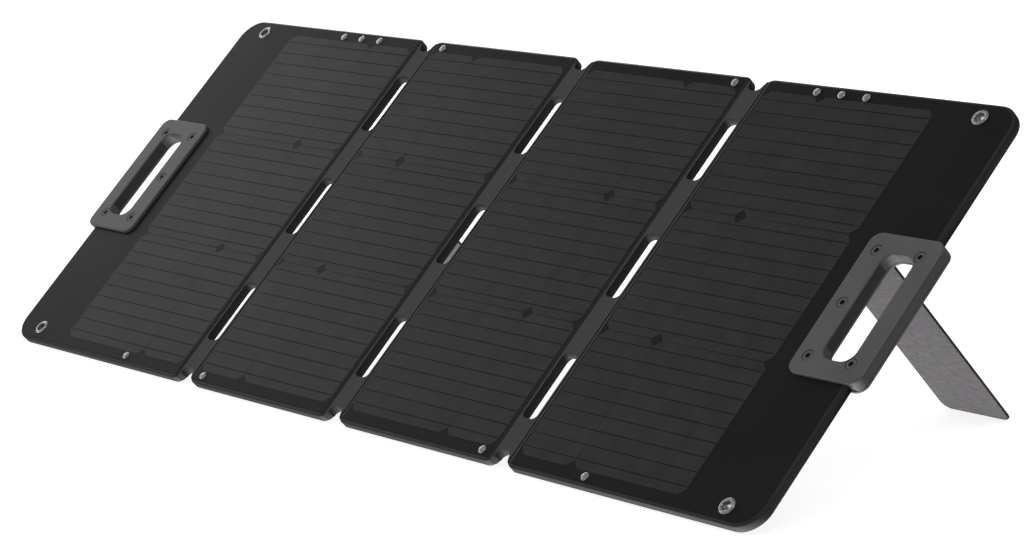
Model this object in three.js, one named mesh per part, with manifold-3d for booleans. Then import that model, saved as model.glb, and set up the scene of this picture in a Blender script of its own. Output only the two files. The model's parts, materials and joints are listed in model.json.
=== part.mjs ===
// Folding solar panel: four rigid boards joined by three flexible strips, standing at 45 degrees
// on the lower edge and on two kickstand legs.
//
// Millimetres, +Z up. Every piece is drawn in the panel's own axes, X to the right, V up the
// slope and N out of the front face, with the front face at N = 0 and the middle strip at X = 0.
// One turned group then stands the whole panel on the ground.

import * as THREE from 'three';
import { mergeVertices } from 'three/addons/utils/BufferGeometryUtils.js';
import Module from 'manifold-3d';

const wasm = await Module();
wasm.setup();

// ---- Driving dimensions ----
const LEAN = Math.PI / 4;
const HALF_WIDTH = 671;
const HALF_HEIGHT = 267.5;
const GAP = 0.3;
const BOARD_BACK = -12;
const BOARD_TOP = -1.9;
const CELL_BOTTOM = BOARD_TOP + GAP;
const CELL_TOP = -1.2;
const FILM_BOTTOM = CELL_TOP + GAP;
const FILM_INSET = 2.5;
const OUTER_CORNER = 30;
const INNER_CORNER = 8;
const FOLD_X = 290.5;

const STRIP_WIDTH = 29;
const STRIP_TOP = -0.4;
const STRIP_END = 262;
const NOTCH_BOTTOM = 249;
const NOTCH_BEND = 9.75;
const PRONG_SLOPE = 4;
const SLOT_WIDTH = 21.5;
const SLOT_LENGTH = 87;
const SLOT_PITCH = 164;
const SLOT_CORNER = 6;

const CELL = 166;
const HALF_CELL = 83;
const CELL_GAP = 1;
const CELL_CORNER = 8.5;
const CELL_ROWS = 3;

const GROMMET = {
  x: 623, v: 248.3, bore: 5.35, tube: 6.6, flange: 9.7, rise: 1.1, lip: 0.4, slope: 1.9,
};
const RIVET = { head: 5.1, rise: 1.5, shank: 2.4, hole: 2.7, tail: 4.5, tailHeight: 0.9 };
// Points on a rivet's dome, as shares of its radius and of its height.
const RIVET_DOME = [[1, 0], [0.8, 0.62], [0.4, 0.93], [0, 1]];
const RIVET_V = 256.5;
const RIVET_SPREAD = 36.6;
const INNER_RIVET_X = 257.8;

const HANDLE = { inner: 588.5, outer: 686.5, half: 90, corner: 13, top: 3.9, seam: -10, back: -14 };
const GRIP_SLOT = { inner: 619.5, outer: 661.9, half: 67, corner: 15 };
const GRIP_WALL = 7;
const RAIL_STEP = 0.5;
const SCREW = {
  head: 6.3, shank: 2, hole: 2.3, socket: 2.9, socketDepth: 1.1, seat: 1.6, sunk: 0.2, end: -13.6,
};
const SCREW_OUTER_X = 664.5;
const SCREW_INNER_X = 605.5;
const SCREW_V = 67.5;

const LEG_X = 421.5;
const LEG_WIDTH = 100;
const LEG_THICKNESS = 3;
const LEG_CORNER = 12;
const LEG_TOP_CORNER = 3;
const LEG_TOP_DROP = 2.5;
const NECK_OVERLAP = 5;
const NECK_TOP = 2.5;
const PIN_V = 151.5;
const PIN_N = -16.5;
const PIN_RADIUS = 1.6;
const PIN_PROUD = 1;
const KNUCKLE_RADIUS = 3.6;
const KNUCKLE_LENGTH = 19.5;
const BLOCK_BACK = -15.2;
const BLOCK_LOW = 156.5;
const BLOCK_HIGH = 265;
const BLOCK_CORNER = 6;
const LEAF_OVERLAP = 4;
const LEAF_BACK = 0.3;
const LEAF_FRONT = 1.1;
const CATCH_RADIUS = 7.5;
const CATCH_BACK = -14.2;
const CATCH_STEP = -13.2;

const BOX = { x: -530, v: 120, width: 74, height: 58, wall: 2.4, base: -27, lid: -29.6, corner: 6 };
// Sides of the many-sided stand-ins for round pieces: fasteners, pins and rings.
const SMALL_SIDES = 8;
const RING_SIDES = 12;
const GLAND = { radius: 6.5, neck: 5.2, bore: 2.4, out: 16, depth: 12, inside: 4 };

// N range of a cutter that passes right through the panel, how far other cutters overrun what
// they cut, and how deep joined blocks reach into each other.
const THROUGH = [-40, 20];
const OVERRUN = 5;
const OVERLAP = 1;

// ---- Materials ----
function material(color, roughness, metalness) {
  return new THREE.MeshStandardMaterial({ color, roughness, metalness });
}
const BOARD_GREY = material(0x4a4a4c, 0.7, 0);
const CELL_DARK = material(0x2f3033, 0.5, 0);
const FILM_DARK = material(0x3a3a3c, 0.45, 0);
const STRIP_GREY = material(0x5a5a5c, 0.85, 0);
const PLASTIC_GREY = material(0x646466, 0.5, 0);
const LEG_GREY = material(0x736c70, 0.9, 0);
const STEEL = material(0xb8b8ba, 0.3, 0.9);
const SCREW_DARK = material(0x3c3c3e, 0.4, 0.7);

// ---- Shapes ----
// Outline of a rectangle with one radius for each corner, starting at the lower left corner and
// going anticlockwise.
function roundedOutline(x0, v0, x1, v1, radii, Outline = THREE.Shape) {
  const [a, b, c, d] = Array.isArray(radii) ? radii : [radii, radii, radii, radii];
  const outline = new Outline();
  const quarter = Math.PI / 2;
  outline.moveTo(x0 + a, v0);
  outline.lineTo(x1 - b, v0);
  if (b) outline.absarc(x1 - b, v0 + b, b, -quarter, 0, false);
  outline.lineTo(x1, v1 - c);
  if (c) outline.absarc(x1 - c, v1 - c, c, 0, quarter, false);
  outline.lineTo(x0 + d, v1);
  if (d) outline.absarc(x0 + d, v1 - d, d, quarter, 2 * quarter, false);
  outline.lineTo(x0, v0 + a);
  if (a) outline.absarc(x0 + a, v0 + a, a, 2 * quarter, 3 * quarter, false);
  return outline;
}

// A many-sided hole that a circle of this radius fits inside.
function roundHole(x, v, radius, Outline = THREE.Path, sides = SMALL_SIDES) {
  const reach = radius / Math.cos(Math.PI / sides);
  const points = [];
  for (let i = 0; i < sides; i += 1) {
    const angle = (2 * Math.PI * i) / sides;
    points.push(new THREE.Vector2(x + reach * Math.cos(angle), v + reach * Math.sin(angle)));
  }
  return new Outline(points);
}

// An outline in X and V, made solid from N = low to N = high.
function slab(outline, low, high, curveSegments = 4) {
  const options = { depth: high - low, bevelEnabled: false, curveSegments };
  const geometry = new THREE.ExtrudeGeometry(outline, options);
  geometry.translate(0, 0, low);
  return geometry;
}

// A block between two X, V, N corners.
function block(x0, v0, n0, x1, v1, n1) {
  const geometry = new THREE.BoxGeometry(Math.abs(x1 - x0), Math.abs(v1 - v0), Math.abs(n1 - n0));
  geometry.translate((x0 + x1) / 2, (v0 + v1) / 2, (n0 + n1) / 2);
  return geometry;
}

// A turned piece about N: its profile is a list of [radius, N].
function turned(profile, segments) {
  const points = profile.map(([radius, n]) => new THREE.Vector2(radius, n));
  return new THREE.LatheGeometry(points, segments).rotateX(Math.PI / 2);
}

// A rod along X.
function rodAlongX(x0, x1, v, n, radius, segments) {
  const geometry = new THREE.CylinderGeometry(radius, radius, Math.abs(x1 - x0), segments);
  geometry.rotateZ(Math.PI / 2);
  geometry.translate((x0 + x1) / 2, v, n);
  return geometry;
}

// ---- Joining and cutting ----
function signedVolume(position, index) {
  const a = new THREE.Vector3();
  const b = new THREE.Vector3();
  const c = new THREE.Vector3();
  let volume = 0;
  for (let i = 0; i < index.length; i += 3) {
    a.fromBufferAttribute(position, index[i]);
    b.fromBufferAttribute(position, index[i + 1]);
    c.fromBufferAttribute(position, index[i + 2]);
    volume += a.dot(b.cross(c)) / 6;
  }
  return volume;
}

// The geometry as a solid: shared corners merged, flat slivers dropped, faces pointing out.
function solid(geometry) {
  geometry.deleteAttribute('normal');
  geometry.deleteAttribute('uv');
  const merged = mergeVertices(geometry, 1e-4);
  const corners = merged.index.array;
  const triangles = [];
  for (let i = 0; i < corners.length; i += 3) {
    const [a, b, c] = [corners[i], corners[i + 1], corners[i + 2]];
    if (a !== b && b !== c && c !== a) triangles.push(a, b, c);
  }
  if (signedVolume(merged.attributes.position, triangles) < 0) triangles.reverse();
  const vertProperties = new Float32Array(merged.attributes.position.array);
  const triVerts = new Uint32Array(triangles);
  return new wasm.Manifold(new wasm.Mesh({ numProp: 3, vertProperties, triVerts }));
}

function joined(...geometries) {
  return geometries.map(solid).reduce((whole, piece) => whole.add(piece));
}

function without(whole, ...cutters) {
  return cutters.map(solid).reduce((rest, cutter) => rest.subtract(cutter), whole);
}

function fromSolid(manifold) {
  const { vertProperties, triVerts } = manifold.getMesh();
  const geometry = new THREE.BufferGeometry();
  geometry.setAttribute('position', new THREE.BufferAttribute(vertProperties, 3));
  geometry.setIndex(new THREE.BufferAttribute(triVerts, 1));
  geometry.computeVertexNormals();
  return geometry;
}

const panel = new THREE.Group();

function addPiece(name, shape, finish) {
  const body = shape instanceof wasm.Manifold ? shape : solid(shape);
  const mesh = new THREE.Mesh(fromSolid(body), finish);
  mesh.name = name;
  panel.add(mesh);
}

// The same shape on the right-hand side, or its mirror image on the left-hand side.
function onSide(side, shape) {
  return side > 0 ? shape : shape.mirror([1, 0, 0]);
}

// ---- Boards, cells and films ----
// The four boards from left to right: X range, and where the whole cell starts.
const INNER_EDGE = STRIP_WIDTH / 2;
const BOARDS = [
  { number: 1, x0: -HALF_WIDTH, x1: -FOLD_X - INNER_EDGE, cells: -561.6, wholeFirst: true },
  { number: 2, x0: -FOLD_X + INNER_EDGE, x1: -INNER_EDGE, cells: -270.7, wholeFirst: false },
  { number: 3, x0: INNER_EDGE, x1: FOLD_X - INNER_EDGE, cells: 20.7, wholeFirst: true },
  { number: 4, x0: FOLD_X + INNER_EDGE, x1: HALF_WIDTH, cells: 311.6, wholeFirst: false },
];

function isOuter(board) {
  return board.number === 1 || board.number === 4;
}

function sideOf(board) {
  return board.number <= 2 ? -1 : 1;
}

function rivetsOf(board) {
  const side = sideOf(board);
  if (!isOuter(board)) {
    return [[side * INNER_RIVET_X, RIVET_V], [side * INNER_RIVET_X, -RIVET_V]];
  }
  const x = side * LEG_X;
  const top = [-1, 0, 1].map((step) => [x + step * RIVET_SPREAD, RIVET_V]);
  return [...top, [x, -RIVET_V]];
}

function screwsOf(side) {
  return [
    [side * SCREW_OUTER_X, SCREW_V],
    [side * SCREW_OUTER_X, -SCREW_V],
    [side * SCREW_INNER_X, SCREW_V],
    [side * SCREW_INNER_X, 0],
    [side * SCREW_INNER_X, -SCREW_V],
  ];
}

function boardCorners(board) {
  if (board.number === 1) return [OUTER_CORNER, INNER_CORNER, INNER_CORNER, OUTER_CORNER];
  if (board.number === 4) return [INNER_CORNER, OUTER_CORNER, OUTER_CORNER, INNER_CORNER];
  return [INNER_CORNER, INNER_CORNER, INNER_CORNER, INNER_CORNER];
}

function boardOutline(board, inset) {
  const radii = boardCorners(board).map((radius) => radius - inset / 2);
  const { x0, x1 } = board;
  const edge = HALF_HEIGHT - inset;
  const outline = roundedOutline(x0 + inset, -edge, x1 - inset, edge, radii);
  for (const [x, v] of rivetsOf(board)) outline.holes.push(roundHole(x, v, RIVET.hole));
  if (isOuter(board)) {
    const side = sideOf(board);
    for (const sign of [-1, 1]) {
      const [x, v] = [side * GROMMET.x, sign * GROMMET.v];
      outline.holes.push(roundHole(x, v, GROMMET.tube + GAP, THREE.Path, RING_SIDES));
    }
    for (const v of [-SCREW_V, 0, SCREW_V]) {
      outline.holes.push(roundHole(side * SCREW_INNER_X, v, SCREW.hole));
    }
  }
  return outline;
}

// The opening at the end of an outer board that the handle's body fills.
function handleNotch(side) {
  const inner = GRIP_SLOT.inner - GRIP_WALL - GAP;
  const half = GRIP_SLOT.half + GRIP_WALL + GAP;
  const outline = roundedOutline(inner, -half, HANDLE.outer + OVERRUN, half, GRIP_WALL);
  return onSide(side, solid(slab(outline, ...THROUGH)));
}

function handleOutline() {
  const { inner, outer, half, corner } = HANDLE;
  return roundedOutline(inner, -half, outer, half, corner);
}

// The shallow pocket in an outer board's back that the handle's back plate lies in.
function platePocket(side) {
  const { inner, outer, half, corner, seam } = HANDLE;
  const outline = roundedOutline(inner - GAP, -half - GAP, outer, half + GAP, corner);
  return onSide(side, solid(slab(outline, THROUGH[0], seam)));
}

for (const board of BOARDS) {
  let tray = solid(slab(boardOutline(board, 0), BOARD_BACK, BOARD_TOP));
  let skin = solid(slab(boardOutline(board, FILM_INSET), FILM_BOTTOM, 0));
  if (isOuter(board)) {
    const notch = handleNotch(sideOf(board));
    tray = tray.subtract(notch).subtract(platePocket(sideOf(board)));
    skin = skin.subtract(notch);
  }
  addPiece(`board_${board.number}`, tray, BOARD_GREY);
  addPiece(`front_film_${board.number}`, skin, FILM_DARK);
}

// A block of cells: three rows of one whole and one half cell. Where four cell corners meet they
// leave a diamond open, and where two meet at the block's edge they leave a notch.
function cellDiamond(x, v) {
  const r = CELL_CORNER + CELL_GAP / 2;
  const diamond = new THREE.Shape();
  diamond.moveTo(x - r, v);
  diamond.lineTo(x, v - r);
  diamond.lineTo(x + r, v);
  diamond.lineTo(x, v + r);
  diamond.closePath();
  return slab(diamond, CELL_BOTTOM - OVERRUN, CELL_TOP + OVERRUN);
}

for (const board of BOARDS) {
  const width = CELL + CELL_GAP + HALF_CELL;
  const half = (CELL_ROWS * CELL + (CELL_ROWS - 1) * CELL_GAP) / 2;
  const x0 = board.cells;
  const x1 = x0 + width;
  const seam = x0 + (board.wholeFirst ? CELL : HALF_CELL) + CELL_GAP / 2;
  const sheet = solid(block(x0, -half, CELL_BOTTOM, x1, half, CELL_TOP));
  const diamonds = [];
  for (const x of [x0, seam, x1]) {
    for (const v of [-half, -half / 3, half / 3, half]) diamonds.push(cellDiamond(x, v));
  }
  addPiece(`cells_${board.number}`, without(sheet, ...diamonds), CELL_DARK);
}

// ---- Hinge strips ----
function stripOutline(x) {
  const half = STRIP_WIDTH / 2 - GAP;
  const slotHalf = SLOT_WIDTH / 2;
  const bend = NOTCH_BEND;
  const outline = new THREE.Shape();
  outline.moveTo(x - half, -STRIP_END);
  outline.lineTo(x - slotHalf, -STRIP_END + PRONG_SLOPE);
  outline.lineTo(x - slotHalf, -NOTCH_BOTTOM - bend);
  outline.absarc(x - slotHalf + bend, -NOTCH_BOTTOM - bend, bend, Math.PI, Math.PI / 2, true);
  outline.absarc(x + slotHalf - bend, -NOTCH_BOTTOM - bend, bend, Math.PI / 2, 0, true);
  outline.lineTo(x + slotHalf, -STRIP_END + PRONG_SLOPE);
  outline.lineTo(x + half, -STRIP_END);
  outline.lineTo(x + half, STRIP_END);
  outline.lineTo(x + slotHalf, STRIP_END - PRONG_SLOPE);
  outline.lineTo(x + slotHalf, NOTCH_BOTTOM + bend);
  outline.absarc(x + slotHalf - bend, NOTCH_BOTTOM + bend, bend, 0, -Math.PI / 2, true);
  outline.absarc(x - slotHalf + bend, NOTCH_BOTTOM + bend, bend, -Math.PI / 2, -Math.PI, true);
  outline.lineTo(x - slotHalf, STRIP_END - PRONG_SLOPE);
  outline.lineTo(x - half, STRIP_END);
  outline.closePath();
  for (const v of [-SLOT_PITCH, 0, SLOT_PITCH]) {
    const low = v - SLOT_LENGTH / 2;
    const high = v + SLOT_LENGTH / 2;
    const slot = roundedOutline(x - slotHalf, low, x + slotHalf, high, SLOT_CORNER, THREE.Path);
    outline.holes.push(slot);
  }
  return outline;
}

const STRIPS = [['left', -FOLD_X], ['centre', 0], ['right', FOLD_X]];
for (const [place, x] of STRIPS) {
  const strip = slab(stripOutline(x), BOARD_BACK, STRIP_TOP, 3);
  addPiece(`hinge_strip_${place}`, strip, STRIP_GREY);
}

// ---- Grommets and rivets ----
function grommet() {
  const { bore, tube, flange, rise, lip, slope } = GROMMET;
  const front = GAP;
  const back = BOARD_BACK - GAP;
  const profile = [
    [bore, back - rise], [flange, back - rise], [flange, back], [tube, back],
    [tube, front], [flange, front], [flange, front + lip], [flange - slope, front + rise],
    [bore + lip, front + rise], [bore, front + lip], [bore, back - rise],
  ];
  return turned(profile, RING_SIDES);
}

// A domed rivet whose tail closes against a piece ending at N = clamped.
function rivet(clamped) {
  const { head, rise, shank, tail, tailHeight } = RIVET;
  const seat = clamped - GAP;
  const profile = [
    [0, seat - tailHeight], [tail, seat - tailHeight], [tail, seat], [shank, seat], [shank, GAP],
    ...RIVET_DOME.map(([across, up]) => [head * across, GAP + rise * up]),
  ];
  return turned(profile, SMALL_SIDES);
}

for (const board of BOARDS) {
  const side = sideOf(board);
  const place = side < 0 ? 'left' : 'right';
  rivetsOf(board).forEach(([x, v], i) => {
    let name = `rivet_${board.number}_${v > 0 ? 'top' : 'bottom'}`;
    let clamped = BOARD_BACK;
    if (isOuter(board)) {
      if (v > 0) name += `_${i + 1}`;
      clamped = v > 0 ? BLOCK_BACK : CATCH_STEP;
    }
    addPiece(name, rivet(clamped).translate(x, v, 0), STEEL);
  });
  if (!isOuter(board)) continue;
  for (const [level, sign] of [['top', 1], ['bottom', -1]]) {
    const ring = grommet().translate(side * GROMMET.x, sign * GROMMET.v, 0);
    addPiece(`grommet_${place}_${level}`, ring, STEEL);
  }
}

// ---- Handles ----
function gripSlot() {
  const { inner, outer, half, corner } = GRIP_SLOT;
  return slab(roundedOutline(inner, -half, outer, half, corner), ...THROUGH, 5);
}

function screwBores(radius, low, high) {
  return screwsOf(1).map(([x, v]) => slab(roundHole(x, v, radius, THREE.Shape), low, high));
}

function handleFront() {
  const { outer, half, corner, top, seam } = HANDLE;
  const bodyInner = GRIP_SLOT.inner - GRIP_WALL;
  const bodyHalf = GRIP_SLOT.half + GRIP_WALL;
  const body = roundedOutline(bodyInner, -bodyHalf, outer - RAIL_STEP, bodyHalf, GRIP_WALL);
  const rail = roundedOutline(HALF_WIDTH + GAP, -half, outer, half, [0, corner, corner, 0]);
  const whole = joined(
    slab(handleOutline(), GAP, top),
    slab(body, seam, OVERLAP),
    slab(rail, seam, OVERLAP),
  );
  return without(
    whole,
    gripSlot(),
    ...screwBores(SCREW.hole, ...THROUGH),
    ...screwBores(SCREW.head + GAP, SCREW.seat, THROUGH[1]),
  );
}

function handleBack() {
  const plate = solid(slab(handleOutline(), HANDLE.back, HANDLE.seam - GAP));
  return without(plate, gripSlot(), ...screwBores(SCREW.hole, ...THROUGH));
}

function handleScrew() {
  const { head, shank, socket, socketDepth, seat, sunk, end } = SCREW;
  const low = seat + GAP;
  const high = HANDLE.top - sunk;
  const profile = [
    [0, end], [shank, end], [shank, low], [head, low],
    [head, high], [socket, high], [socket, high - socketDepth], [0, high - socketDepth],
  ];
  return turned(profile, SMALL_SIDES);
}

for (const [place, side] of [['left', -1], ['right', 1]]) {
  addPiece(`handle_front_${place}`, onSide(side, handleFront()), PLASTIC_GREY);
  addPiece(`handle_back_${place}`, onSide(side, handleBack()), PLASTIC_GREY);
  screwsOf(side).forEach(([x, v], i) => {
    const screw = handleScrew().translate(x, v, 0);
    addPiece(`handle_screw_${place}_${i + 1}`, screw, SCREW_DARK);
  });
}

// ---- Kickstands ----
// The leg hangs from its pin, square to the back of the board. Its foot is cut to lie flat on the
// ground, the plane V + N = GROUND that also touches the board's lower back edge.
const GROUND = -HALF_HEIGHT + BOARD_BACK;

function groundCutter() {
  const size = 200;
  const cutter = new THREE.BoxGeometry(size, size, size);
  cutter.rotateX(LEAN);
  const drop = size / 2 / Math.SQRT2;
  return cutter.translate(LEG_X, PIN_V - drop, GROUND - PIN_V - drop);
}

function pinBore() {
  const reach = LEG_WIDTH / 2 + OVERRUN;
  return rodAlongX(LEG_X - reach, LEG_X + reach, PIN_V, PIN_N, PIN_RADIUS + GAP, RING_SIDES);
}

function legBoard() {
  const left = LEG_X - LEG_WIDTH / 2;
  const right = LEG_X + LEG_WIDTH / 2;
  const top = PIN_N - KNUCKLE_RADIUS - LEG_TOP_DROP;
  const foot = GROUND - PIN_V;
  const thin = LEG_THICKNESS / 2;
  const radii = [LEG_CORNER, LEG_CORNER, LEG_TOP_CORNER, LEG_TOP_CORNER];
  const plate = slab(roundedOutline(left, foot - thin, right, top, radii), -thin, thin);
  plate.rotateX(Math.PI / 2);
  plate.translate(0, PIN_V, 0);
  const start = left + KNUCKLE_LENGTH + GAP;
  const stop = right - KNUCKLE_LENGTH - GAP;
  const low = top - NECK_OVERLAP;
  const neck = block(start, PIN_V - thin, low, stop, PIN_V + thin, PIN_N - NECK_TOP);
  const barrel = rodAlongX(start, stop, PIN_V, PIN_N, KNUCKLE_RADIUS, RING_SIDES);
  return without(joined(plate, neck, barrel), pinBore(), groundCutter());
}

function legBlock() {
  const left = LEG_X - LEG_WIDTH / 2;
  const right = LEG_X + LEG_WIDTH / 2;
  const front = BOARD_BACK - GAP;
  const corners = [0, 0, BLOCK_CORNER, BLOCK_CORNER];
  const outline = roundedOutline(left, BLOCK_LOW, right, BLOCK_HIGH, corners);
  for (const [x, v] of rivetsOf(BOARDS[3])) {
    if (v > 0) outline.holes.push(roundHole(x, v, RIVET.hole));
  }
  const pieces = [slab(outline, BLOCK_BACK, front)];
  for (const start of [left, right - KNUCKLE_LENGTH]) {
    const stop = start + KNUCKLE_LENGTH;
    const [low, high] = [BLOCK_BACK + LEAF_BACK, front - LEAF_FRONT];
    pieces.push(block(start, PIN_V, low, stop, BLOCK_LOW + LEAF_OVERLAP, high));
    pieces.push(rodAlongX(start, stop, PIN_V, PIN_N, KNUCKLE_RADIUS, RING_SIDES));
  }
  return without(joined(...pieces), pinBore());
}

function legPin() {
  const reach = LEG_WIDTH / 2 + PIN_PROUD;
  return rodAlongX(LEG_X - reach, LEG_X + reach, PIN_V, PIN_N, PIN_RADIUS, RING_SIDES);
}

// A steel keeper ring that the folded leg's magnet meets, under the lower rivet's tail.
function legCatch() {
  const front = BOARD_BACK - GAP;
  const profile = [
    [RIVET.hole, CATCH_STEP], [RIVET.tail + GAP, CATCH_STEP], [RIVET.tail + GAP, CATCH_BACK],
    [CATCH_RADIUS, CATCH_BACK], [CATCH_RADIUS, front], [RIVET.hole, front],
    [RIVET.hole, CATCH_STEP],
  ];
  return turned(profile, RING_SIDES).translate(LEG_X, -RIVET_V, 0);
}

for (const [place, side] of [['left', -1], ['right', 1]]) {
  addPiece(`leg_board_${place}`, onSide(side, legBoard()), LEG_GREY);
  addPiece(`leg_block_${place}`, onSide(side, legBlock()), PLASTIC_GREY);
  addPiece(`leg_pin_${place}`, onSide(side, solid(legPin())), STEEL);
  addPiece(`leg_catch_${place}`, onSide(side, solid(legCatch())), STEEL);
}

// ---- Junction box ----
function boxOutline(inset) {
  const { x, v, width, height, corner } = BOX;
  const halfX = width / 2 - inset;
  const halfV = height / 2 - inset;
  return roundedOutline(x - halfX, v - halfV, x + halfX, v + halfV, corner - inset);
}

// A turned piece whose axis runs down the slope from the box's lower wall.
function glandPiece(profile) {
  const piece = turned(profile, RING_SIDES).rotateX(Math.PI / 2);
  return piece.translate(BOX.x, BOX.v - BOX.height / 2, (BOX.base + BOARD_BACK - GAP) / 2);
}

function junctionBase() {
  const { base, wall } = BOX;
  const front = BOARD_BACK - GAP;
  const shell = solid(slab(boxOutline(0), base, front));
  const hollow = slab(boxOutline(wall), base - OVERRUN, front - wall);
  const reach = GLAND.neck + 2 * GAP;
  const span = GLAND.inside + GAP;
  const hole = glandPiece([[0, -span], [reach, -span], [reach, span], [0, span]]);
  return without(shell, hollow, hole);
}

function outputGland() {
  const { radius, neck, bore, out, depth, inside } = GLAND;
  const profile = [
    [0, -inside], [neck, -inside], [neck, GAP], [radius, GAP], [radius, out],
    [bore, out], [bore, out - depth], [0, out - depth],
  ];
  return glandPiece(profile);
}

addPiece('junction_base', junctionBase(), PLASTIC_GREY);
addPiece('junction_lid', slab(boxOutline(0), BOX.lid, BOX.base - GAP), PLASTIC_GREY);
addPiece('output_gland', outputGland(), BOARD_GREY);

// ---- Stand the panel on the ground ----
panel.rotation.x = LEAN;
panel.updateMatrixWorld(true);
const extent = new THREE.Box3().setFromObject(panel, true);
const middle = extent.getCenter(new THREE.Vector3());
panel.position.set(-middle.x, -middle.y, -extent.min.z);

const solarPanel = new THREE.Group();
solarPanel.add(panel);

export default solarPanel;
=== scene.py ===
"""The looks of a folding solar panel that stands on two kickstand legs.

Pieces are drawn in the panel's own axes, in millimetres: X to the right, V up the slope and N out
of the front face. The front film's face is N = 0 and the middle strip's centre line is X = V = 0.
"""

import json
import math

import bmesh
import bpy
from mathutils import Matrix, Vector


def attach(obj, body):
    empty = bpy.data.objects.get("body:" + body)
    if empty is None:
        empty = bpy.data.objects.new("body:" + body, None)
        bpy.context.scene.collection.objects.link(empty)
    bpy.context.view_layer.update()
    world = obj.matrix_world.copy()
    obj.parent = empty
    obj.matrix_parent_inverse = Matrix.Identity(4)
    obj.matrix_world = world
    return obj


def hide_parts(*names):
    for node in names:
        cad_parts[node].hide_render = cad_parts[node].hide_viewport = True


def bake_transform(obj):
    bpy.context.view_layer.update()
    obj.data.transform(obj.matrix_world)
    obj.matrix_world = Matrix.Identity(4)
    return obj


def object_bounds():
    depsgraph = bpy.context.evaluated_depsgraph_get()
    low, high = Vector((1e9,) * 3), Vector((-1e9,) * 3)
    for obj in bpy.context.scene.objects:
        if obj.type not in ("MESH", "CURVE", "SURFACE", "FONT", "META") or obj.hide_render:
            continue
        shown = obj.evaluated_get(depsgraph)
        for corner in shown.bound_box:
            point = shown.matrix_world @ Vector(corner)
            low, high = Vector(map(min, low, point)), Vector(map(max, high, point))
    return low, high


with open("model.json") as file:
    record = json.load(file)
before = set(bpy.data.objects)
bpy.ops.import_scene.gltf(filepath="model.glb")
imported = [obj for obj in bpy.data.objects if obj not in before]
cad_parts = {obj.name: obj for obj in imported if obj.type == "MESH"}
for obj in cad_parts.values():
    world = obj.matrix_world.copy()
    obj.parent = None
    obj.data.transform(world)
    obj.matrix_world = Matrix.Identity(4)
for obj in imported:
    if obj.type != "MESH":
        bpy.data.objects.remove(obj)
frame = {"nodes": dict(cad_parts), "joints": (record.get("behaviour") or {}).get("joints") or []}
CAD_LOW, CAD_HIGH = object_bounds()

# ---- Where the panel is ----
MM = 0.001
FOLD_DEPTH = 15.0
JOINTS = {joint["name"]: joint for joint in frame["joints"]}
X_AXIS = Vector((1.0, 0.0, 0.0))
V_AXIS = Vector(JOINTS["fold_centre"]["axis"]).normalized()
N_AXIS = X_AXIS.cross(V_AXIS)
ORIGIN = Vector(JOINTS["fold_centre"]["pos_m"]) + N_AXIS * FOLD_DEPTH * MM
PANEL = Matrix.Translation(ORIGIN) @ Matrix((X_AXIS, V_AXIS, N_AXIS)).transposed().to_4x4()
TO_PANEL = PANEL.inverted()


def span(node):
    """Lowest and highest corner of a CAD node in the panel's axes, in millimetres."""
    points = [TO_PANEL @ vertex.co for vertex in frame["nodes"][node].data.vertices]
    low = Vector([min(point[i] for point in points) for i in range(3)]) / MM
    high = Vector([max(point[i] for point in points) for i in range(3)]) / MM
    return low, high


def centre(node):
    low, high = span(node)
    return (low + high) / 2


# ---- Outlines, as closed loops of (x, v) points in millimetres ----
def arc(x, v, radius, start, stop, steps):
    """Points on a circle from one angle to another, in degrees."""
    angles = [math.radians(start + (stop - start) * i / steps) for i in range(steps + 1)]
    return [(x + radius * math.cos(a), v + radius * math.sin(a)) for a in angles]


def circle(x, v, radius, steps=32, turn=0.0):
    return arc(x, v, radius, turn, turn + 360 - 360 / steps, steps - 1)


def rounded(x0, v0, x1, v1, radius, steps=8):
    """A rectangle with round corners, anticlockwise from its lower right corner."""
    r = radius
    loop = arc(x1 - r, v0 + r, r, -90, 0, steps)
    loop += arc(x1 - r, v1 - r, r, 0, 90, steps)
    loop += arc(x0 + r, v1 - r, r, 90, 180, steps)
    return loop + arc(x0 + r, v0 + r, r, 180, 270, steps)


def hole(loop):
    """A loop turned round, so that the material is outside it."""
    return loop[::-1]


def mirrored(loop):
    return [(-x, v) for x, v in loop[::-1]]


def inset(loop, distance):
    """The loop moved towards the material, on its left-hand side."""
    moved = []
    for i, (x, v) in enumerate(loop):
        before = (Vector((x, v)) - Vector(loop[i - 1])).normalized()
        after = (Vector(loop[(i + 1) % len(loop)]) - Vector((x, v))).normalized()
        left = Vector((-before.y - after.y, before.x + after.x)).normalized()
        reach = distance / max(0.4, left.dot(Vector((-after.y, after.x))))
        moved.append((x + left.x * reach, v + left.y * reach))
    return moved


# ---- Solids built from rings ----
RIM = 0.3
SMOOTH_ANGLE = 35
ROUND_ANGLE = 40
DOME_ANGLE = 50


def on_panel(x, v, n):
    return x, v, n


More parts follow.
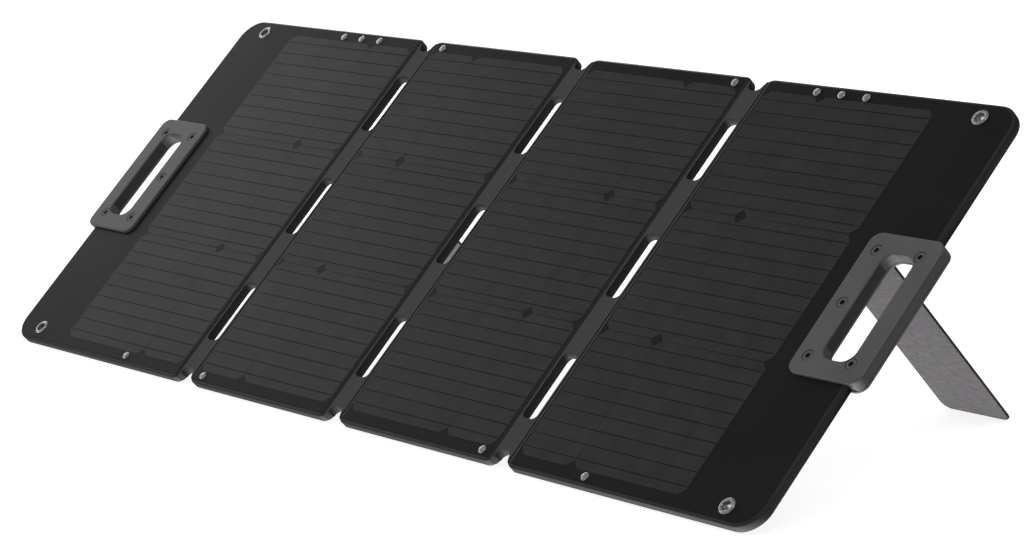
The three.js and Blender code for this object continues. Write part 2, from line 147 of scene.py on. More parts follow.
class Solid:
    """A closed mesh built ring by ring. plane turns (u, w, h) into the panel's X, V and N."""

    def __init__(self, plane=on_panel):
        self.mesh = bmesh.new()
        self.plane = plane

    def ring(self, loop, h):
        return [self.mesh.verts.new(Vector(self.plane(u, w, h)) * MM) for u, w in loop]

    def wall(self, a, b):
        for i in range(len(a)):
            self.mesh.faces.new((a[i - 1], a[i], b[i], b[i - 1]))

    def tube(self, loop, profile):
        """Walls through each (inset, h) of the profile, with a narrow flat rim beyond each end
        that keeps the shading of the caps flat. Returns the first and last ring."""
        (first, low), (last, high) = profile[0], profile[-1]
        steps = [(first + RIM, low), *profile, (last + RIM, high)]
        rings = [self.ring(inset(loop, distance) if distance else loop, h) for distance, h in steps]
        for a, b in zip(rings, rings[1:]):
            self.wall(a, b)
        return rings[0], rings[-1]

    def cap(self, *rings):
        """A flat face inside the first ring and outside the others."""
        edges = []
        for ring in rings:
            for i in range(len(ring)):
                pair = (ring[i - 1], ring[i])
                edges.append(self.mesh.edges.get(pair) or self.mesh.edges.new(pair))
        bmesh.ops.triangle_fill(self.mesh, use_beauty=True, use_dissolve=False, edges=edges)

    def prism(self, outer, profile, holes=(), hole_profile=None):
        """A plate with a shaped edge and shaped holes."""
        ends = [profile[0][1], profile[-1][1]]
        walls = hole_profile or [(0, ends[0]), (0, ends[1])]
        first, last = self.tube(outer, profile)
        pairs = [self.tube(loop, walls) for loop in holes]
        self.cap(first, *[pair[0] for pair in pairs])
        self.cap(last, *[pair[1] for pair in pairs])

    def turned(self, u, w, profile, sides=32, turn=0.0):
        """A piece turned about h from a profile of (radius, h); radius 0 closes it."""
        previous = None
        first = None
        for radius, h in profile:
            if radius:
                ring = self.ring(circle(u, w, radius, sides, turn), h)
            else:
                ring = self.mesh.verts.new(Vector(self.plane(u, w, h)) * MM)
            if previous is not None:
                self.join_turned(previous, ring)
            first = first if first is not None else ring
            previous = ring
        if isinstance(first, list) and isinstance(previous, list):
            self.wall(previous, first)

    def join_turned(self, a, b):
        if isinstance(a, list) and isinstance(b, list):
            self.wall(a, b)
            return
        ring, tip = (a, b) if isinstance(a, list) else (b, a)
        for i in range(len(ring)):
            self.mesh.faces.new((ring[i - 1], ring[i], tip))

    def piece(self, name, material, smooth_angle=SMOOTH_ANGLE, wall=None):
        """The finished object, standing in the panel's frame. wall takes a point's X, V and N
        and gives the painted shade or painted highlight there, as a factor on the material's
        colour."""
        # Per-point tone of painted shade and painted highlight, multiplied into the colour.
        tone = self.mesh.verts.layers.float.new("painted_light_tone")
        for vertex in self.mesh.verts:
            vertex[tone] = wall(*(vertex.co / MM)) if wall else 1.0
        bmesh.ops.recalc_face_normals(self.mesh, faces=self.mesh.faces)
        data = bpy.data.meshes.new(name)
        self.mesh.to_mesh(data)
        self.mesh.free()
        obj = bpy.data.objects.new(name, data)
        bpy.context.scene.collection.objects.link(obj)
        obj.matrix_world = PANEL
        data.materials.append(material)
        soften(obj, smooth_angle)
        return obj


def soften(obj, angle):
    """Smooth shading, with edges sharper than the angle kept crisp."""
    obj.data.shade_smooth()
    obj.data.set_sharp_from_angle(angle=math.radians(angle))


def finish_piece(obj, body, slot, *nodes):
    if nodes:
        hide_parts(*nodes)
    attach(obj, body)


# ---- Materials ----
class Shader:
    """One material and short ways to add nodes to it."""

    def __init__(self, name, roughness=0.5, metallic=0.0, **sockets):
        self.material = bpy.data.materials.new(name)
        self.material.use_nodes = True
        self.tree = self.material.node_tree
        self.surface = self.tree.nodes["Principled BSDF"]
        self.surface.inputs["Roughness"].default_value = roughness
        self.surface.inputs["Metallic"].default_value = metallic
        for socket, value in sockets.items():
            self.surface.inputs[socket.replace("_", " ")].default_value = value
        self.place = self.node("ShaderNodeTexCoord").outputs["Object"]

    def node(self, kind, **settings):
        made = self.tree.nodes.new(kind)
        for key, value in settings.items():
            setattr(made, key, value)
        return made

    def join(self, output, node, socket):
        self.tree.links.new(output, node.inputs[socket])

    def put(self, output, socket):
        self.tree.links.new(output, self.surface.inputs[socket])

    def scaled(self, x, y=None, z=None, place=None):
        """Coordinates with so many repeats to the metre along each axis, or x along all."""
        mapping = self.node("ShaderNodeMapping")
        mapping.inputs["Scale"].default_value = (x, y or x, z or x)
        self.join(place or self.place, mapping, "Vector")
        return mapping.outputs["Vector"]

    def noise(self, vector, scale=1.0, detail=3.0, roughness=0.55):
        made = self.node("ShaderNodeTexNoise")
        made.inputs["Scale"].default_value = scale
        made.inputs["Detail"].default_value = detail
        made.inputs["Roughness"].default_value = roughness
        self.join(vector, made, "Vector")
        return made.outputs["Fac"]

    def ramp(self, factor, stops):
        """A colour or grey ramp from (position, value) stops."""
        made = self.node("ShaderNodeValToRGB")
        while len(made.color_ramp.elements) < len(stops):
            made.color_ramp.elements.new(0.5)
        for element, (position, value) in zip(made.color_ramp.elements, stops):
            element.position = position
            colour = value if isinstance(value, tuple) else (value, value, value)
            element.color = (*colour, 1)
        self.join(factor, made, "Fac")
        return made.outputs["Color"]

    def math(self, operation, a, b=None):
        made = self.node("ShaderNodeMath", operation=operation)
        for i, value in enumerate((a, b)):
            if value is None:
                continue
            if isinstance(value, (int, float)):
                made.inputs[i].default_value = value
            else:
                self.tree.links.new(value, made.inputs[i])
        return made.outputs[0]

    def blend(self, mode, factor, a, b):
        """Two colours mixed by a factor that is a number or an output."""
        made = self.node("ShaderNodeMix", data_type="RGBA", blend_type=mode)
        for index, value in ((0, factor), (6, a), (7, b)):
            if isinstance(value, bpy.types.NodeSocket):
                self.tree.links.new(value, made.inputs[index])
            elif isinstance(value, tuple):
                made.inputs[index].default_value = (*value, 1)
            else:
                made.inputs[index].default_value = value
        return made.outputs[2]

    def with_painted_light(self, colour):
        """The colour times the per-point tone: painted shade darkens the deep walls of a piece and
        a painted highlight lightens its front edges.
        """
        tone = self.node("ShaderNodeAttribute", attribute_name="painted_light_tone")
        return self.blend("MULTIPLY", 1.0, colour, tone.outputs["Color"])

    def bump(self, height, strength, distance):
        made = self.node("ShaderNodeBump")
        made.inputs["Strength"].default_value = strength
        made.inputs["Distance"].default_value = distance
        self.join(height, made, "Height")
        normal = self.surface.inputs["Normal"]
        if normal.is_linked:
            self.join(normal.links[0].from_socket, made, "Normal")
        self.put(made.outputs["Normal"], "Normal")


def grey(value, tint=(1.0, 1.0, 1.0)):
    return tuple(value * part for part in tint)


PIMPLES = 850
CUT_LINE = 0.45


def emboss(shader):
    """The film's fine round pimples, so many to the metre."""
    pimples = shader.node("ShaderNodeTexVoronoi", feature="SMOOTH_F1")
    pimples.inputs["Scale"].default_value = 1.0
    shader.join(shader.scaled(PIMPLES), pimples, "Vector")
    shader.bump(pimples.outputs["Distance"], 0.35, 0.00008)


def film_material():
    """Embossed film over the dark back sheet, with a soft sheen."""
    shader = Shader("front_film", Specular_IOR_Level=0.23)
    broad = shader.noise(shader.scaled(6), 1.0, 2.0)
    shader.put(shader.ramp(broad, [(0.3, grey(0.0066)), (0.7, grey(0.0078))]), "Base Color")
    shader.put(shader.ramp(broad, [(0.3, 0.36), (0.7, 0.42)]), "Roughness")
    emboss(shader)
    return shader.material


def cell_material():
    """Silicon under the film, with a faint cut line every quarter of a cell."""
    shader = Shader("solar_cell", Specular_IOR_Level=0.35)
    across = shader.node("ShaderNodeAttribute", attribute_name="cell_place")
    parts = shader.node("ShaderNodeSeparateXYZ")
    shader.join(across.outputs["Vector"], parts, "Vector")
    quarter = shader.math("PINGPONG", parts.outputs["X"], QUARTER_CELL / 2)
    line = shader.math("LESS_THAN", quarter, CUT_LINE)
    tone = shader.node("ShaderNodeAttribute", attribute_name="cell_tone")
    mottle = shader.noise(shader.scaled(40), 1.0, 4.0)
    base = shader.ramp(mottle, [(0.3, grey(0.0155)), (0.7, grey(0.0225))])
    toned = shader.blend("MULTIPLY", 1.0, base, tone.outputs["Color"])
    scribed = shader.blend("MIX", line, toned, grey(0.011))
    shader.put(scribed, "Base Color")
    broad = shader.noise(shader.scaled(9), 1.0, 2.0)
    shader.put(shader.ramp(broad, [(0.3, 0.36), (0.7, 0.42)]), "Roughness")
    emboss(shader)
    return shader.material


def ribbon_material():
    """Busbar ribbons, which show as thin dark lines through the film."""
    shader = Shader("busbar_ribbon", Specular_IOR_Level=0.12)
    drift = shader.noise(shader.scaled(60, 400, 60), 1.0, 2.0)
    shader.put(shader.ramp(drift, [(0.3, grey(0.006)), (0.7, grey(0.009))]), "Base Color")
    shader.put(shader.ramp(drift, [(0.3, 0.4), (0.7, 0.5)]), "Roughness")
    return shader.material


def moulded(name, value, roughness, grain, gloss=0.4):
    """Moulded plastic: a fine spark-eroded grain and a slight change of tone."""
    shader = Shader(name, Specular_IOR_Level=gloss)
    broad = shader.noise(shader.scaled(14), 1.0, 3.0)
    low, high = grey(value * 0.93), grey(value * 1.07)
    shader.put(shader.with_painted_light(shader.ramp(broad, [(0.3, low), (0.7, high)])), "Base Color")
    shader.put(shader.ramp(broad, [(0.3, roughness - 0.04), (0.7, roughness + 0.05)]), "Roughness")
    fine = shader.noise(shader.scaled(2200), 1.0, 2.0)
    shader.bump(fine, grain, 0.00006)
    return shader.material


def strip_material():
    """Coated flexible strip: matte, with a faint lengthwise drag and fine grain."""
    shader = Shader("hinge_strip", Specular_IOR_Level=0.42)
    rest = shader.node("ShaderNodeAttribute", attribute_name="rest_place").outputs["Vector"]
    drag = shader.noise(shader.scaled(260, 12, 260, rest), 1.0, 3.0)
    base = shader.ramp(drag, [(0.25, grey(0.031)), (0.75, grey(0.039))])
    shader.put(shader.with_painted_light(base), "Base Color")
    shader.put(shader.ramp(drag, [(0.25, 0.55), (0.75, 0.68)]), "Roughness")
    fine = shader.noise(shader.scaled(1500, place=rest), 1.0, 2.0)
    shader.bump(fine, 0.3, 0.00008)
    return shader.material


def steel_material():
    """Bright plated steel with faint turning marks and handling scuffs."""
    shader = Shader("bright_steel", metallic=0.8)
    broad = shader.noise(shader.scaled(300), 1.0, 3.0)
    tint = (1.0, 1.0, 1.01)
    base = shader.ramp(broad, [(0.3, grey(0.56, tint)), (0.7, grey(0.7, tint))])
    shader.put(shader.with_painted_light(base), "Base Color")
    shader.put(shader.ramp(broad, [(0.3, 0.2), (0.7, 0.34)]), "Roughness")
    fine = shader.noise(shader.scaled(3000, 3000, 900), 1.0, 2.0)
    shader.bump(fine, 0.12, 0.00003)
    return shader.material


def screw_material():
    """Grey coated screws."""
    shader = Shader("dark_steel", metallic=0.2, Specular_IOR_Level=0.4)
    broad = shader.noise(shader.scaled(400), 1.0, 3.0)
    base = shader.ramp(broad, [(0.3, grey(0.075)), (0.7, grey(0.095))])
    shader.put(shader.with_painted_light(base), "Base Color")
    shader.put(shader.ramp(broad, [(0.3, 0.36), (0.7, 0.5)]), "Roughness")
    fine = shader.noise(shader.scaled(2500), 1.0, 2.0)
    shader.bump(fine, 0.15, 0.00004)
    return shader.material


THREAD_PITCH = 0.0011


def cloth_material():
    """Melange cloth of the legs: light and dark yarns in short streaks across the leg, with
    faint pink and green casts."""
    shader = Shader("leg_cloth", Sheen_Weight=0.2, Sheen_Roughness=0.5, Specular_IOR_Level=0.2)
    streaks = shader.noise(shader.scaled(72, 420, 420), 1.0, 3.0, 0.6)
    flecks = shader.noise(shader.scaled(160, 1500, 1500), 1.0, 2.0, 0.6)
    casts = shader.noise(shader.scaled(30, 90, 90), 1.0, 1.0)
    stops = [(0.3, 0.106), (0.44, 0.143), (0.56, 0.17), (0.72, 0.248)]
    yarns = shader.ramp(streaks, [(place, grey(value)) for place, value in stops])
    shade = shader.ramp(flecks, [(0.35, 0.84), (0.65, 1.1)])
    toned = shader.blend("MULTIPLY", 1.0, yarns, shade)
    cast = shader.ramp(casts, [(0.38, (1.0, 1.0, 0.95)), (0.5, (1.03, 0.96, 1.02)),
                               (0.62, (1.05, 0.94, 1.07))])
    shader.put(shader.blend("MULTIPLY", 1.0, toned, cast), "Base Color")
    shader.put(shader.ramp(streaks, [(0.3, 0.82), (0.7, 0.94)]), "Roughness")
    threads = [weave_thread(shader, axis) for axis in ("X", "Z")]
    shader.bump(shader.math("MULTIPLY", *threads), 0.4, 0.00015)
    return shader.material


def weave_thread(shader, axis):
    """Rounded threads, side by side along an axis."""
    parts = shader.node("ShaderNodeSeparateXYZ")
    shader.join(shader.place, parts, "Vector")
    phase = shader.math("MULTIPLY", parts.outputs[axis], 2 * math.pi / THREAD_PITCH)
    wave = shader.math("SINE", phase)
    return shader.math("ADD", shader.math("MULTIPLY", wave, 0.5), 0.5)


def binding_material():
    """Black woven edge tape."""
    shader = Shader("edge_tape", Sheen_Weight=0.15, Specular_IOR_Level=0.2)
    ribs = weave_thread(shader, "Z")
    shader.put(shader.ramp(ribs, [(0.0, grey(0.012)), (1.0, grey(0.022))]), "Base Color")
    shader.put(shader.ramp(ribs, [(0.0, 0.85), (1.0, 0.7)]), "Roughness")
    shader.bump(ribs, 0.4, 0.00015)
    return shader.material


def floor_material():
    shader = Shader("pale_floor", Specular_IOR_Level=0.1, Emission_Strength=0.82)
    shader.surface.inputs["Emission Color"].default_value = (1, 1, 1, 1)
    broad = shader.noise(shader.scaled(0.8), 1.0, 2.0)
    shader.put(shader.ramp(broad, [(0.3, grey(0.44)), (0.7, grey(0.46))]), "Base Color")
    shader.put(shader.ramp(broad, [(0.3, 0.85), (0.7, 0.95)]), "Roughness")
    return shader.material


CELL_SIZE = 166.0
QUARTER_CELL = CELL_SIZE / 4
FILM = film_material()
CELL = cell_material()
RIBBON = ribbon_material()
SHELL = moulded("board_shell", 0.021, 0.32, 0.2, 0.24)
STRIP = strip_material()
HANDLE = moulded("grey_plastic", 0.07, 0.37, 0.3)
GLAND = moulded("black_plastic", 0.02, 0.45, 0.25)
STEEL = steel_material()
SCREW = screw_material()
CLOTH = cloth_material()
TAPE = binding_material()

# ---- Camera ----
AZIMUTH = 50.0
ELEVATION = 9.4
DISTANCE = 3.64
AIM = Vector((0.0457, -0.0756, 0.158))
LENS = 112.4


def make_camera():
    """A long lens, from the right and a little above the panel."""
    data = bpy.data.cameras.new("camera")
    data.lens = LENS
    camera = bpy.data.objects.new("camera", data)
    bpy.context.scene.collection.objects.link(camera)
    azimuth, elevation = math.radians(AZIMUTH), math.radians(ELEVATION)
    back = Vector((math.sin(azimuth) * math.cos(elevation),
                   -math.cos(azimuth) * math.cos(elevation),
                   math.sin(elevation)))
    camera.location = AIM + back * DISTANCE
    camera.rotation_euler = (math.radians(90 - ELEVATION), 0, azimuth)
    bpy.context.scene.camera = camera


make_camera()

# ---- Boards ----
EDGE_RADIUS = 30.0
STRIP_CORNER = 12.0
SLOT_HALF = 10.75
FILM_RIM = 3.75
GRIP_WALL = 7.5
BOARD_BACK = span("board_2")[0].z
# How the edge of a board runs from back to front: (inset, N).
EDGE_PROFILE = [
    (1.7, BOARD_BACK), (0.9, BOARD_BACK + 0.2), (0.3, BOARD_BACK + 0.7), (0.0, BOARD_BACK + 1.5),
    (0.0, -2.3), (0.27, -1.55), (1.05, -0.8), (2.2, -0.32), (3.5, -0.1), (3.6, -0.5),
]
HANDLE_CORNER = 13.0
PLATE_ROOM = 0.3
FILM_PROFILE = [(0.0, -0.45), (0.0, -0.12), (0.12, 0.0)]
BOARDS = {1: "left", 2: None, 3: None, 4: "right"}


def strip_inset():
    """How far the centre of a corner next to a strip lies inside the board's edge."""
    return STRIP_CORNER - (STRIP_HALF - SLOT_HALF)


def right_edge(x, half, outer, notch):
    """The right-hand edge of a board, from the bottom to the top."""
    radius = EDGE_RADIUS if outer else STRIP_CORNER
    middle = x - (radius if outer else strip_inset())
    stop = math.degrees(math.acos((x - middle) / radius))
    lower = arc(middle, -half + radius, radius, -90, -stop, 10)
    upper = arc(middle, half - radius, radius, stop, 90, 10)
    if not notch:
        return lower + upper
    depth, reach = notch
    corner = 6.0
    inner = arc(depth + corner, -reach + corner, corner, 270, 180, 4)
    inner += arc(depth + corner, reach - corner, corner, 180, 90, 4)
    return lower + [(x, -reach)] + inner + [(x, reach)] + upper


def board_loop(number):
    low, high = span(f"board_{number}")
    half = high.y
    notch = None
    if BOARDS[number]:
        grip_low, grip_high = grip_slot()
        notch = (grip_low.x - GRIP_WALL, grip_high.y + GRIP_WALL)
    right = right_edge(high.x, half, number == 4, notch if number == 4 else None)
    left = mirrored(right_edge(-low.x, half, number == 1, notch if number == 1 else None))
    return right + left


def grip_slot():
    """The corners of the right-hand handle's slot."""
    low, high = span("handle_front_right")
    return (Vector((low.x + GRIP_INNER_RIM, low.y + GRIP_END_RIM)),
            Vector((high.x - GRIP_OUTER_RIM, high.y - GRIP_END_RIM)))


STRIP_HALF = -span("board_2")[1].x
GRIP_INNER_RIM = 31.0
GRIP_OUTER_RIM = 24.6
GRIP_END_RIM = 23.0
GROMMET_HOLE = 6.9
RIVET_HOLE = 2.7
SCREW_HOLE = 2.3


def rivets_on(number):
    """The names of a board's rivets."""
    return sorted(name for name in frame["nodes"] if name.startswith(f"rivet_{number}_"))


def screws_on(place):
    return [f"handle_screw_{place}_{i}" for i in range(1, 6)]


def board_holes(number):
    holes = []
    for name in rivets_on(number):
        middle = centre(name)
        holes.append(hole(circle(middle.x, middle.y, RIVET_HOLE, 16)))
    place = BOARDS[number]
    if not place:
        return holes
    for level in ("top", "bottom"):
        middle = centre(f"grommet_{place}_{level}")
        holes.append(hole(circle(middle.x, middle.y, GROMMET_HOLE, 32)))
    edge = abs(grip_slot()[0].x) - GRIP_WALL
    for name in screws_on(place):
        middle = centre(name)
        if abs(middle.x) < edge:
            holes.append(hole(circle(middle.x, middle.y, SCREW_HOLE, 16)))
    return holes


def make_board(number):
    loop = board_loop(number)
    holes = board_holes(number)
    body = f"panel_{number}"
    shell = Solid()
    shell.prism(loop, EDGE_PROFILE, holes)
    piece = shell.piece(f"board_shell_{number}", SHELL)
    if BOARDS[number]:
        cut_away(piece, plate_cutter(BOARDS[number]))
    finish_piece(piece, body, "board_shell", f"board_{number}")
    film = Solid()
    film.prism(inset(loop, FILM_RIM), FILM_PROFILE, holes)
    finish_piece(film.piece(f"film_{number}", FILM), body, "front_film", f"front_film_{number}")


def plate_cutter(place):
    """A block that leaves room for a handle's back plate."""
    low, high = span(f"handle_back_{place}")
    cutter = Solid()
    room = PLATE_ROOM
    outline = rounded(low.x - room, low.y - room, high.x + room, high.y + room, HANDLE_CORNER)
    cutter.prism(outline, [(0.0, low.z - room), (0.0, high.z + room)])
    return cutter.piece("cutter", SHELL)


def cut_away(target, cutter):
    """The target without the cutter's space."""
    cut = target.modifiers.new("cut", "BOOLEAN")
    cut.operation = "DIFFERENCE"
    cut.solver = "EXACT"
    cut.object = cutter
    apply_modifiers(target)
    bpy.data.objects.remove(cutter)
    soften(target, SMOOTH_ANGLE)


def apply_modifiers(target):
    bpy.context.view_layer.update()
    evaluated = target.evaluated_get(bpy.context.evaluated_depsgraph_get())
    data = bpy.data.meshes.new_from_object(evaluated)
    target.modifiers.clear()
    target.data = data


for board_number in BOARDS:
    make_board(board_number)

# ---- Cells ----
CELL_GAP = 1.0
COLUMN_GAP = 0.1
CELL_CORNER = 8.5
CELL_ROWS = 3
CELL_DRIFT = 0.035
DRIFT_STEPS = (7.3, 3.1, 5.7)
CELL_PROFILE = [(0.0, -0.05), (0.0, 0.06), (0.15, 0.13)]
RIBBONS = 9
RIBBON_PITCH = 18.0
RIBBON_HALF = 0.55
RIBBON_END = 2.0
RIBBON_PROFILE = [(0.0, 0.05), (0.0, 0.17), (0.15, 0.2)]


def cell_loop(x0, v0, x1, v1):
    c = CELL_CORNER
    return [(x0 + c, v0), (x1 - c, v0), (x1, v0 + c), (x1, v1 - c),
            (x1 - c, v1), (x0 + c, v1), (x0, v1 - c), (x0, v0 + c)]


def cell_columns(number):
    """The left edge and width of the whole and the half cell of each row."""
    low, high = span(f"cells_{number}")
    whole = (high.x - low.x - COLUMN_GAP) * 2 / 3
    if number % 2:
        return [(low.x, whole), (high.x - whole / 2, whole / 2)]
    return [(low.x, whole / 2), (high.x - whole, whole)]


def make_cells(number):
    low, _ = span(f"cells_{number}")
    cells = Solid()
    place = cells.mesh.verts.layers.float_vector.new("cell_place")
    tone = cells.mesh.verts.layers.float_vector.new("cell_tone")
    for row in range(CELL_ROWS):
        v0 = low.y + row * (CELL_SIZE + CELL_GAP)
        for column, (x0, width) in enumerate(cell_columns(number)):
            before = len(cells.mesh.verts)
            cells.prism(cell_loop(x0, v0, x0 + width, v0 + CELL_SIZE), CELL_PROFILE)
            cells.mesh.verts.ensure_lookup_table()
            shade = 1.0 + CELL_DRIFT * math.sin(Vector(DRIFT_STEPS).dot((number, row, column)))
            for vertex in cells.mesh.verts[before:]:
                vertex[place] = (vertex.co.x / MM - x0, vertex.co.y / MM - v0, 0)
                vertex[tone] = (shade, shade, shade)
    body = f"panel_{number}"
    finish_piece(cells.piece(f"cell_block_{number}", CELL), body, "solar_cell",
                 f"cells_{number}")
    make_ribbons(number, body)


def make_ribbons(number, body):
    low, high = span(f"cells_{number}")
    ribbons = Solid()
    for row in range(CELL_ROWS):
        middle = low.y + row * (CELL_SIZE + CELL_GAP) + CELL_SIZE / 2
        for i in range(RIBBONS):
            v = middle + (i - (RIBBONS - 1) / 2) * RIBBON_PITCH
            start, stop = low.x + RIBBON_END, high.x - RIBBON_END
            loop = [(start, v - RIBBON_HALF), (stop, v - RIBBON_HALF),
                    (stop, v + RIBBON_HALF), (start, v + RIBBON_HALF)]
            ribbons.prism(loop, RIBBON_PROFILE)
    finish_piece(ribbons.piece(f"busbar_ribbons_{number}", RIBBON), body, "solar_cell")


for board_number in BOARDS:
    make_cells(board_number)

# ---- Hinge strips ----
SLOT_LENGTH = 87.0
SLOT_PITCH = 164.0
SLOT_CORNER = 7.0
NOTCH_BOTTOM = 249.0
STRIP_PROFILE = [
    (0.9, BOARD_BACK), (0.25, BOARD_BACK + 0.25), (0.0, BOARD_BACK + 0.9), (0.0, -1.2),
    (0.25, -0.5), (0.9, -0.25),
]
STRIP_EDGE_GAP = 0.5
BEND_CUTS = 14
# Painted shade on the walls of the strips' slots.
SLOT_WALL_SHADE_TONE = 0.3
STRIPS = {"left": ("panel_1", "panel_2"), "centre": ("panel_2", "panel_3"),
          "right": ("panel_3", "panel_4")}


def strip_end(x, half, top):
    """The upper end of a strip, from right to left: two prongs beside a round notch."""
    slot = SLOT_HALF
    middle = half + STRIP_EDGE_GAP + strip_inset()
    start = math.degrees(math.acos((middle - half) / STRIP_CORNER))
    prong = arc(middle, top - STRIP_CORNER, STRIP_CORNER, 180 - start, 180, 5)
    bend = slot - 1.0
    quarter = arc(slot - bend, NOTCH_BOTTOM + bend, bend, 0, -90, 8)
    right = prong + quarter
    left = [(-u, w) for u, w in right[::-1]]
    return [(x + u, w) for u, w in right + left]


def strip_loop(x, half, top):
    upper = strip_end(x, half, top)
    lower = [(2 * x - u, -w) for u, w in upper]
    return upper + lower


def slot_wall_shade(across, n):
    """Painted shade on the walls of the strip's slots."""
    return SLOT_WALL_SHADE_TONE if abs(across) < SLOT_HALF + 0.1 and n < -0.9 else 1.0


def make_strip(place, bodies):
    node = f"hinge_strip_{place}"
    low, high = span(node)
    x = (low.x + high.x) / 2
    top = span("board_2")[1].y
    strip = Solid()
    slots = [rounded(x - SLOT_HALF, v - SLOT_LENGTH / 2, x + SLOT_HALF, v + SLOT_LENGTH / 2,
                     SLOT_CORNER) for v in (-SLOT_PITCH, 0, SLOT_PITCH)]
    strip.prism(strip_loop(x, STRIP_HALF - STRIP_EDGE_GAP, top), STRIP_PROFILE,
                [hole(slot) for slot in slots], STRIP_PROFILE)
    for i in range(1, BEND_CUTS):
        cut = low.x + (high.x - low.x) * i / BEND_CUTS
        everything = [*strip.mesh.verts, *strip.mesh.edges, *strip.mesh.faces]
        bmesh.ops.bisect_plane(strip.mesh, geom=everything, plane_co=(cut * MM, 0, 0),
                               plane_no=(1, 0, 0))
    rest = strip.mesh.verts.layers.float_vector.new("rest_place")
    for vertex in strip.mesh.verts:
        vertex[rest] = vertex.co
    piece = strip.piece(f"flexible_strip_{place}", STRIP, wall=lambda u, w, n: slot_wall_shade(u - x, n))
    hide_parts(node)
    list(bodies)
    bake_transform(piece)


for strip_place, strip_bodies in STRIPS.items():
    make_strip(strip_place, strip_bodies)

# ---- Rivets and grommets ----
SHADED_TONE = 0.4
BORE_REACH = 5.6


def make_rivet(name, body):
    low, high = span(name)
    middle = (low + high) / 2
    top, bottom = high.z, low.z
    head = (high.x - low.x) / 2
    rivet = Solid()
    profile = [
        (0, bottom + 0.35), (1.5, bottom + 0.35), (2.1, bottom + 0.05), (3.0, bottom),
        (4.1, bottom + 0.3), (4.4, bottom + 0.9), (RIVET_HOLE - 0.3, bottom + 0.9),
        (RIVET_HOLE - 0.3, 0.1), (head - 0.25, 0.1), (head, 0.3), (head - 0.1, 0.6),
        (head - 0.7, top - 0.6), (head - 1.6, top - 0.25), (head - 2.9, top - 0.06),
        (head - 4.3, top), (0, top),
    ]
    rivet.turned(middle.x, middle.y, profile, 32)
    finish_piece(rivet.piece(f"{name}_domed", STEEL, DOME_ANGLE), body, "bright_steel", name)


def bore_tone(radius, depth):
    """The shaded bore of a grommet."""
    return SHADED_TONE if radius < BORE_REACH and depth < -0.8 else 1.0


def make_grommet(name, body):
    low, high = span(name)
    middle = (low + high) / 2
    front, back = high.z, low.z
    rim = (high.x - low.x) / 2
    grommet = Solid()
    profile = [
        (5.35, back + 1.4), (5.7, back + 0.35), (6.6, back), (rim - 0.9, back + 0.15),
        (rim, back + 0.6), (rim - 0.2, back + 1.05), (6.5, back + 1.05), (6.5, 0.1),
        (rim - 0.3, 0.1), (rim, 0.3), (rim - 0.1, 0.55), (rim - 0.8, front - 0.3),
        (rim - 1.7, front), (6.7, front), (5.9, front - 0.3), (5.5, front - 0.9),
        (5.35, front - 1.8),
    ]
    grommet.turned(middle.x, middle.y, profile, 48)
    ring = grommet.piece(f"{name}_ring", STEEL, DOME_ANGLE, wall=lambda u, w, n: bore_tone(
        math.hypot(u - middle.x, w - middle.y), n - front))
    finish_piece(ring, body, "bright_steel", name)


for board_number, board_place in BOARDS.items():
    for rivet_name in rivets_on(board_number):
        make_rivet(rivet_name, f"panel_{board_number}")
    if board_place:
        for grommet_level in ("top", "bottom"):
            make_grommet(f"grommet_{board_place}_{grommet_level}", f"panel_{board_number}")

# ---- Handles ----
GRIP_CORNER = 15.0
SEAT_RADIUS = 6.75
SEAT_DEPTH = 2.2
SCREW_HEAD = 6.3
HEX_REACH = 3.3
SOCKET_DEPTH = 1.5
# Painted shade in the hex sockets of the screws.
SOCKET_SHADE_TONE = 0.15
# Painted shade on a handle's outer wall.
OUTER_WALL_SHADE_TONE = 0.75
# Painted highlight along a handle's outer and lower front edges.
PAINTED_HIGHLIGHT_TONE = 1.5


def sided(side, loop):
    return loop if side > 0 else mirrored(loop)


def handle_loops():
    """Outlines of the right-hand handle: plate, the deeper body below it, and the slot."""
    low, high = span("handle_front_right")
    edge = span("board_4")[1].x + 0.3
    grip_low, grip_high = grip_slot()
    plate = rounded(low.x, low.y, high.x, high.y, HANDLE_CORNER)
    wall = GRIP_WALL - 0.3
    inner, reach = grip_low.x - wall, grip_high.y + wall
    r = HANDLE_CORNER
    body = arc(high.x - r, low.y + r, r, -60, 0, 6) + arc(high.x - r, high.y - r, r, 0, 60, 6)
    body += [(edge, high.y - 1.5), (edge, reach)]
    body += arc(inner + 6, reach - 6, 6, 90, 180, 5) + arc(inner + 6, -reach + 6, 6, 180, 270, 5)
    body += [(edge, -reach), (edge, low.y + 1.5)]
    slot = rounded(grip_low.x, grip_low.y, grip_high.x, grip_high.y, GRIP_CORNER, 12)
    return plate, body, slot


